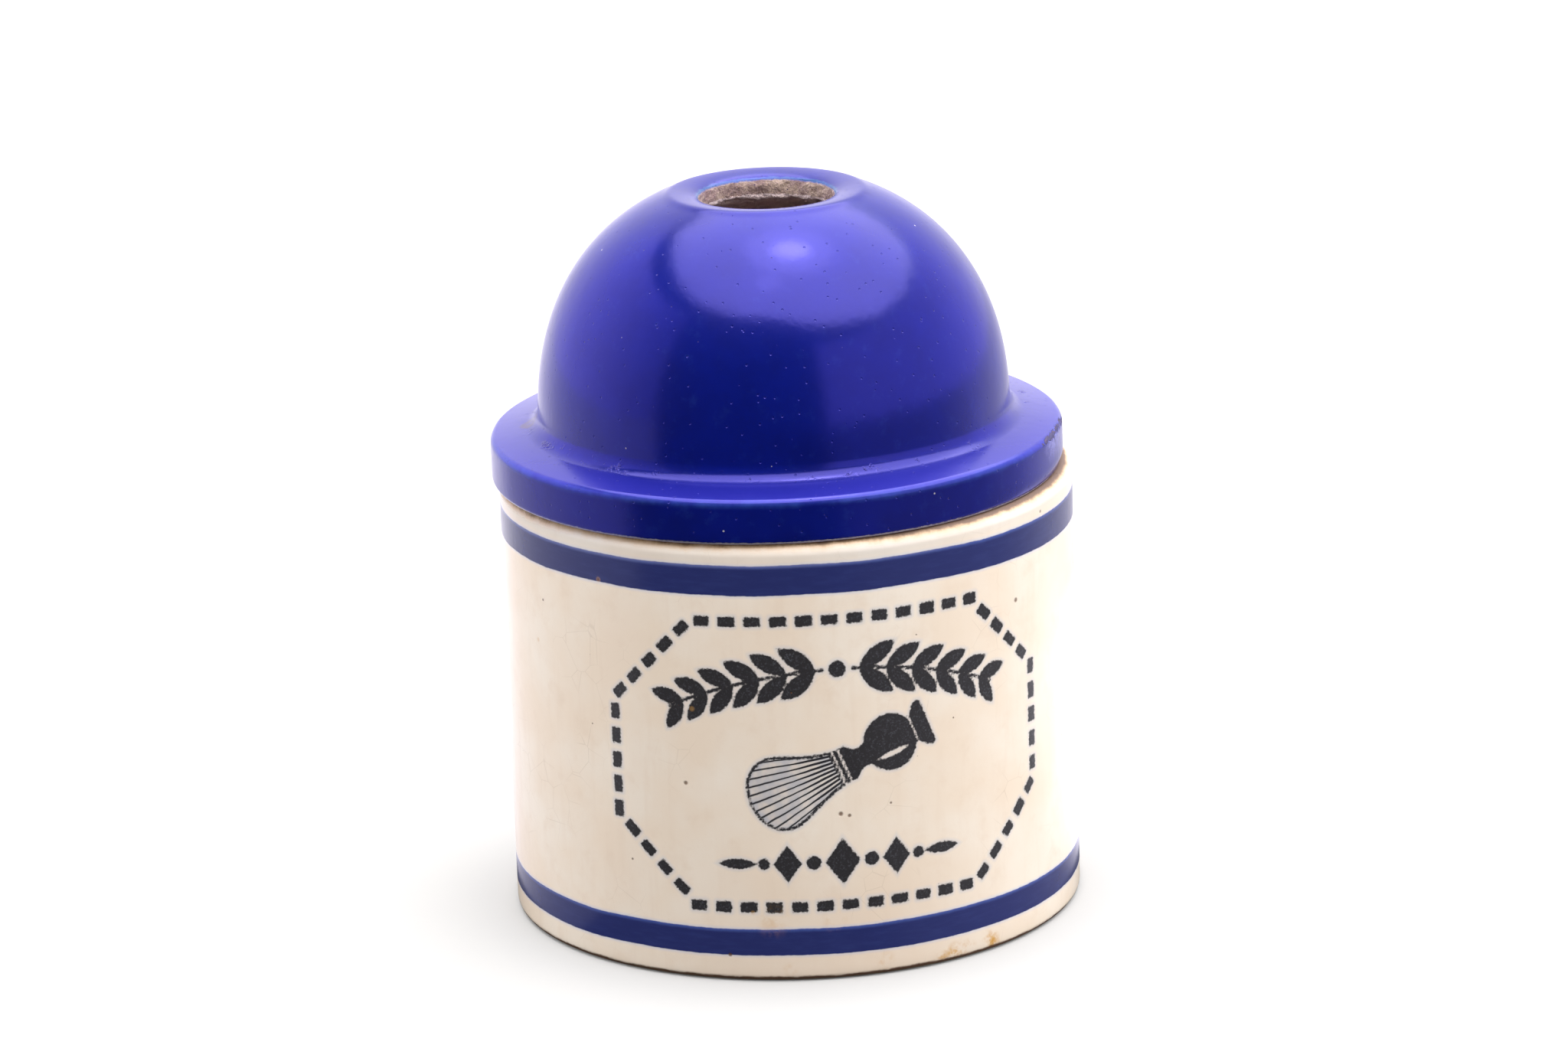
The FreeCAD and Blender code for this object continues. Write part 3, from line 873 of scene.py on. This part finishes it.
def blueGlaze():
    look = blueLook
    material, shader, place = newMaterial("blueGlaze")
    x, y, z = split(place)
    bare, ledge, flangeEdge, holeEdge = (
        attribute(place.tree, name) for name in ("bareClay", "ledge", "flangeEdge", "holeEdge"))

    # the glaze, pale where it is thin over the flange's edge, and painted light on the flange's upward-facing
    # ledge
    clouds = noiseNode(place, 9, 3, 0.6, 21.0)
    curls = noiseNode(place, 1.6, 3, 0.65, 22.0)
    colour = mix(ramp(clouds, 0.35, 0.7), look["blue"], look["blueDeep"])
    colour = mix(ramp(curls, 0.55, 0.8, 0, 0.04), colour, look["thin"])
    # painted light: the flange's top ledge made lighter
    colour = mix(ledge, colour, look["ledge"])
    edge = flangeEdge * ramp(noiseNode(place, 2.4, 3, 0.6, 23.0), 0.2, 0.8, 0.6, 1.0)
    colour = mix(ramp(edge, 0.25, 0.9, 0, 0.26), colour, look["thin"])

    # the worn line under the flange, white specks, dark pits and a pale fringe round the hole
    ragged = noiseNode(place, 0.7, 3, 0.7, 24.0) - 0.5
    line = ragged * 0.4 + bare
    wornLine = ramp(line, -0.30, -0.12, 0, 0.8) * ramp(z, rimHeight + 8, rimHeight + 6)
    pits = dots(place, 2.4, 0.09, 0.25, 22.0)
    fringe = ramp(line, -0.4, -0.2) * holeEdge * 0.7
    for share, tone in ((wornLine, "edgeClay"), (dots(place, 3.1, 0.15, 0.3, 21.0) * 0.8, "edgeClay"),
                        (pits * 0.8, "dirt"), (fringe, "fringe")):
        colour = mix(share, colour, look[tone])

    # bare clay: rough, mottled and specked
    mottle = noiseNode(place, 2.2, 4, 0.7, 25.0)
    grit = noiseNode(place, 0.4, 3, 0.7, 26.0)
    gritDots = dots(place, 0.95, 0.16, 0.4, 23.0)
    clay = mix(ramp(mottle, 0.38, 0.62), look["clay"], look["clayPale"])
    for share, tone in ((ramp(grit, 0.5, 0.72, 0, 0.6), "clayDark"), (gritDots * 0.8, "dirt"),
                        (ramp(bare, 2.9, 3.0) * 0.9, "hollow")):
        clay = mix(share, clay, look[tone])
    isBare = ramp(line, -0.12, 0.1)
    colour = mix(isBare, colour, clay)
    chip, worn = chipMasks(x, y, z, place, mottle)
    colour = mix(worn, colour, look["worn"])
    colour = mix(chip, colour, mix(ramp(grit, 0.45, 0.7), look["chipDirt"], look["clayDark"]))

    # a spot on the left where the glaze crawled, and grime that gathers in the cove at the front
    degrees, crawlHeight = look["crawl"]
    away = distanceNode(place, domeRadius + 0.3, degrees, rimHeight + crawlHeight, lidCentreX)
    crawl = ragged * 1.2 + away
    colour = mix(ramp(crawl, 2.2, 1.7) * ramp(crawl, 0.9, 1.4) * 0.8, colour, look["dirt"])
    coveHeight, coveInner, coveOuter = look["coveGrime"]
    cove = ramp(abs(z - (rimHeight + coveHeight)), 0.8, 0.1)
    cove = cove * ramp(fromAxis(x, y), coveOuter, coveInner)
    coveGrime = cove * ramp(noiseNode(place, 3.5, 4, 0.7, 27.0), 0.55, 0.7, 0, 0.6)
    colour = mix(coveGrime * ramp(bare, 0.0, -0.3), colour, look["dirt"])

    feed(shader["Base Color"], colour)
    dull = mathNode("MAXIMUM", mathNode("MAXIMUM", isBare, chip), coveGrime * 0.8)
    gloss = clouds * 0.05 + (look["roughness"] - 0.025)
    feed(shader["Roughness"], mix(dull, gloss, 0.92, "FLOAT"))
    shader["IOR"].default_value = look["index"]
    shader["Specular Tint"].default_value = look["reflection"]

    # glaze: slow waves and small pits; clay: coarse grain
    normal = bump(noiseNode(place, 5.0, 2, 0.5, 28.0), 0.035)
    normal = bump(noiseNode(place, 0.9, 2, 0.5, 29.0), 0.012, normal)
    normal = bump((mottle + grit) * dull, 0.35, normal)
    holes = 1.0 - mathNode("MAXIMUM", pits, gritDots)
    feed(shader["Normal"], bump(holes, 0.05, normal))
    return material


paintLid(lid)
lid.data.materials.append(blueGlaze())
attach(lid, "lid")
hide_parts("lid")
print("lid glazed")


studio = {
    "floorColour": (0.43, 0.425, 0.422, 1),
    "floorSize": 4.0,
    "floorHeight": -0.00002,
    "floorFade": (250, 900),    # from the middle, in mm, where the paper turns pure white
    "worldCamera": 1.0,
    "worldLeft": 3.2,
    "worldRight": 2.7,
    "worldBack": 1.5,
    "worldFront": 0.3,
    "worldAbove": 0.15,
    "worldGlossy": 1.7,
    "tableBounce": 0.06,
    "floorLift": 0.07,
    "overheadHeight": 0.75,
    "overheadReach": (-0.85, 1.4, -1.0, 1.1),   # times the height: left, right, front, back
    "overheadLight": 4.2,
    "overheadGlow": 2.85,
    "overheadEdge": [   # degrees from the camera, how high the edge stands, glow
        (-171, 44, 3.1), (-141, 49, 2.8), (-111, 54, 2.4), (-81, 53, 2.15), (-51, 50.5, 2.2),
        (-21, 49.5, 2.4), (9, 48.5, 2.4), (24, 45, 2.5), (39, 41.5, 2.5), (69, 36.5, 2.7), (99, 35, 2.4),
        (129, 36, 3.0), (160, 40, 3.6), (175, 42, 3.5),
    ],
    "hotSpots": [(0.105, 0.045, 0.22, 3.7), (0.105, 0.045, 0.085, 8.0), (0.0, -0.25, 0.07, 3.5)],
    "walls": [              # lowest and highest degrees, then directions and the glow there
        ("frontCard", -14, 60, [(-57, 0.03), (24.3, 0.03)]),
        ("rightCard", -1, 35, [(24.3, 0.47), (39, 0.5), (69, 0.55), (99, 0.68), (114, 0.82), (129, 0.98),
                               (159, 1.32), (185, 1.5)]),
        ("rightDark", 35, 60, [(24.3, 0.05), (110, 0.05)]),
        ("leftCard", -8, 46, [(-175, 1.47), (-156, 1.3), (-126, 1.04), (-111, 0.93), (-96, 0.79), (-81, 0.58),
                              (-66, 0.36), (-57, 0.28)]),
        ("leftDark", 46, 60, [(-175, 0.05), (-57, 0.05)]),
    ],
    "tableRings": [         # nearest and furthest reach in metres, then directions and the glow there
        ("tableNear", 0.038, 0.14, [
            (-175, 1.6), (-141, 1.45), (-126, 1.12), (-96, 0.85), (-66, 0.5), (-57.5, 0.4), (-56.5, 0.03),
            (20, 0.03), (28, 0.15), (84, 0.5), (99, 1.3), (114, 2.2), (129, 2.2), (144, 1.8), (185, 1.6)]),
        ("tableFar", 0.14, 1.6, [
            (-175, 1.5), (-141, 1.35), (-126, 1.02), (-96, 0.74), (-66, 0.48), (-57.5, 0.4), (-56.5, 0.03),
            (20, 0.03), (28, 0.14), (60, 0.2), (84, 0.27), (99, 0.5), (114, 0.75), (129, 0.9), (150, 1.0),
            (185, 1.3)]),
    ],
    "glowColour": (1, 0.95, 1.04, 1),
    "glowSide": (1, 0.90, 1.65, 1),
    "panelDistance": 1.1,
    "darkFrom": -57.0,                          # sides of the dark front, in degrees from the camera
    "darkTo": 24.3,
}


def newObject(name, data):
    thing = bpy.data.objects.new(name, data)
    bpy.context.scene.collection.objects.link(thing)
    return thing


def aroundTable(degrees, reach, height):
    # a place that many degrees round from the camera, in metres
    turn = math.radians(degrees + cameraPlan["azimuth"])
    return reach * math.sin(turn), -reach * math.cos(turn), height


def glowMaterial(name):
    # as bright as the card's own glow values say
    material = bpy.data.materials.new(name)
    material.use_nodes = True
    tree = material.node_tree
    tree.nodes.clear()
    tint = mix(attribute(tree, "sideways"), studio["glowColour"], studio["glowSide"])
    glow = newNode(tree, "Emission", {"Color": tint, "Strength": attribute(tree, "glow")})
    feed(tree.nodes.new("ShaderNodeOutputMaterial").inputs["Surface"], glow)
    return material


def reflectedCard(name, vertices, faces, glow, sideways=0.0):
    # seen only in reflections, like a panel beside the table
    mesh = bpy.data.meshes.new(name)
    mesh.from_pydata(vertices, [], faces)
    card = newObject(name, mesh)
    paintPoints(card, "glow", glow)
    paintPoints(card, "sideways", sideways + np.zeros(len(vertices)))
    mesh.materials.append(glowMaterial(name + "Glow"))
    card.visible_camera = False
    card.visible_diffuse = False
    card.visible_shadow = False
    card.visible_transmission = False


def discCard(name, centre, ring, glow):
    # a fan round its centre, which has the first glow
    count = len(ring)
    faces = [(0, 1 + step, 1 + (step + 1) % count) for step in range(count)]
    reflectedCard(name, [centre] + ring, faces, glow)


def ribbonCard(name, stops, steps, inner, outer, sideways):
    # between two circles, each of a reach and a height; its glow is given at a few directions
    degrees = np.linspace(stops[0][0], stops[-1][0], steps + 1)
    glow = np.interp(degrees, [stop[0] for stop in stops], [stop[1] for stop in stops])
    vertices = [aroundTable(place, *side) for place in degrees for side in (inner, outer)]
    faces = [(2 * step, 2 * step + 2, 2 * step + 3, 2 * step + 1) for step in range(steps)]
    tint = between(np.abs(degrees), 160, 120) if sideways else np.zeros(steps + 1)
    reflectedCard(name, vertices, faces, np.repeat(glow, 2), np.repeat(tint, 2))


def wallCard(name, stops, lowDeg, highDeg):
    distance = studio["panelDistance"]
    low, high = (distance * math.tan(math.radians(rise)) + 0.04 for rise in (lowDeg, highDeg))
    ribbonCard(name, stops, 24, (distance, low), (distance, high), True)


def overheadLight(height, left, right, front, back, turn):
    # a wide soft box, as bright as its card is in reflections
    light = bpy.data.lights.new("overheadLight", "AREA")
    light.shape = "RECTANGLE"
    light.size = right - left
    light.size_y = back - front
    light.energy = studio["overheadLight"] * math.pi * light.size * light.size_y
    lamp = newObject("overheadLight", light)
    lamp.location = turn @ Vector(((left + right) / 2, (front + back) / 2, height))
    lamp.rotation_euler = (0, 0, math.radians(cameraPlan["azimuth"]))
    lamp.visible_glossy = False
    lamp.visible_camera = False


def makeFloor():
    half, low = studio["floorSize"], studio["floorHeight"]
    mesh = bpy.data.meshes.new("floor")
    mesh.from_pydata([(-half, -half, low), (half, -half, low), (half, half, low), (-half, half, low)], [],
                     [(0, 1, 2, 3)])
    floor = newObject("floor", mesh)
    # white paper to look at, but it throws little light back on the jar
    material, shader, place = newMaterial("floorPaper")
    seen = newNode(place.tree, "LightPath", {}, "Is Camera Ray")
    bounce = (studio["tableBounce"],) * 3 + (1,)
    feed(shader["Base Color"], mix(seen, bounce, studio["floorColour"]))
    shader["Emission Color"].default_value = (1, 1, 1, 1)
    x, y = split(place)[:2]
    fade = ramp(fromAxis(x, y), *studio["floorFade"], studio["floorLift"], 1.0)
    feed(shader["Emission Strength"], seen * fade)
    shader["Roughness"].default_value = 0.9
    shader["Specular IOR Level"].default_value = 0.0
    mesh.materials.append(material)


def makeWorld():
    world = bpy.data.worlds.new("studioWorld")
    bpy.context.scene.world = world
    world.use_nodes = True
    tree = world.node_tree
    background = tree.nodes["Background"].inputs
    # light round the table: white sides and back, dark in front, little above beside the soft box
    x, y, z = split(newNode(tree, "TexCoord", {}, "Generated"))
    middle = math.radians((studio["darkFrom"] + studio["darkTo"]) / 2 + cameraPlan["azimuth"])
    half = math.radians((studio["darkTo"] - studio["darkFrom"]) / 2)
    forward = x * math.sin(middle) - y * math.cos(middle)
    facing = forward / mathNode("MAXIMUM", fromAxis(x, y), 0.001)
    sides = ramp(x, -0.7, 0.7, studio["worldLeft"], studio["worldRight"])
    sides = mix(ramp(y, 0.55, 0.95), sides, studio["worldBack"], "FLOAT")
    around = ramp(facing, math.cos(half * 1.25), math.cos(half * 0.8), sides, studio["worldFront"])
    strength = mix(ramp(z, 0.5, 0.6), around, studio["worldAbove"], "FLOAT")
    for ray, setting in (("Is Glossy Ray", "worldGlossy"), ("Is Camera Ray", "worldCamera")):
        strength = mix(newNode(tree, "LightPath", {}, ray), strength, studio[setting], "FLOAT")
    feed(background["Strength"], strength)
    background["Color"].default_value = (1, 1, 1, 1)


cameraPlan = {
    "azimuth": -8.7,
    "elevation": 15.76,
    "roll": -0.0333,
    "distance": 716.2,      # mm from the aim point
    "lens": 134.2,
    "aimLeft": 0.38,
    "aimHeight": 46.9,
}


def makeCamera():
    plan = cameraPlan
    elevation = math.radians(plan["elevation"])
    back = Vector((0, -math.cos(elevation), math.sin(elevation)))
    across = Vector((1, 0, 0))
    up = back.cross(across)
    right = math.cos(plan["roll"]) * across + math.sin(plan["roll"]) * up
    matrix = Matrix((right, back.cross(right), back)).transposed().to_4x4()
    matrix.translation = (Vector((-plan["aimLeft"], 0, plan["aimHeight"])) + plan["distance"] * back) * mm
    data = bpy.data.cameras.new("camera")
    data.lens = plan["lens"]
    data.sensor_width = 36
    data.clip_start = 0.01
    camera = newObject("camera", data)
    camera.matrix_world = Matrix.Rotation(math.radians(plan["azimuth"]), 4, "Z") @ matrix
    bpy.context.scene.camera = camera


def makeStudio():
    makeFloor()
    makeWorld()
    height = studio["overheadHeight"]
    turn = Matrix.Rotation(math.radians(cameraPlan["azimuth"]), 3, "Z")
    ring, glows = [], [studio["overheadGlow"]]
    for degrees, rise, glow in studio["overheadEdge"]:
        reach = (height + 0.02) / math.tan(math.radians(rise))
        ring.append(Vector(aroundTable(degrees, reach, height + 0.09)))
        glows.append(glow)
    discCard("overheadCard", Vector((0, 0, height + 0.09)), ring, glows)
    for number, (spotX, spotY, spotRadius, spotGlow) in enumerate(studio["hotSpots"]):
        centre = turn @ Vector((spotX, spotY, height + 0.08 - 0.01 * number))
        ring = [centre + Vector((spotRadius * math.cos(a), spotRadius * math.sin(a), 0))
                for a in (2 * math.pi * step / 24 for step in range(24))]
        discCard("lampGlow" + str(number), centre, ring, [spotGlow] * 25)
    for name, lowDeg, highDeg, stops in studio["walls"]:
        wallCard(name, stops, lowDeg, highDeg)
    for name, near, far, stops in studio["tableRings"]:
        ribbonCard(name, stops, 180, (near, 0.001), (far, 0.001), False)
    overheadLight(height + 0.09, *(reach * height for reach in studio["overheadReach"]), turn)
    bpy.context.scene.view_settings.view_transform = "Standard"


makeStudio()
makeCamera()
print("studio and camera placed")
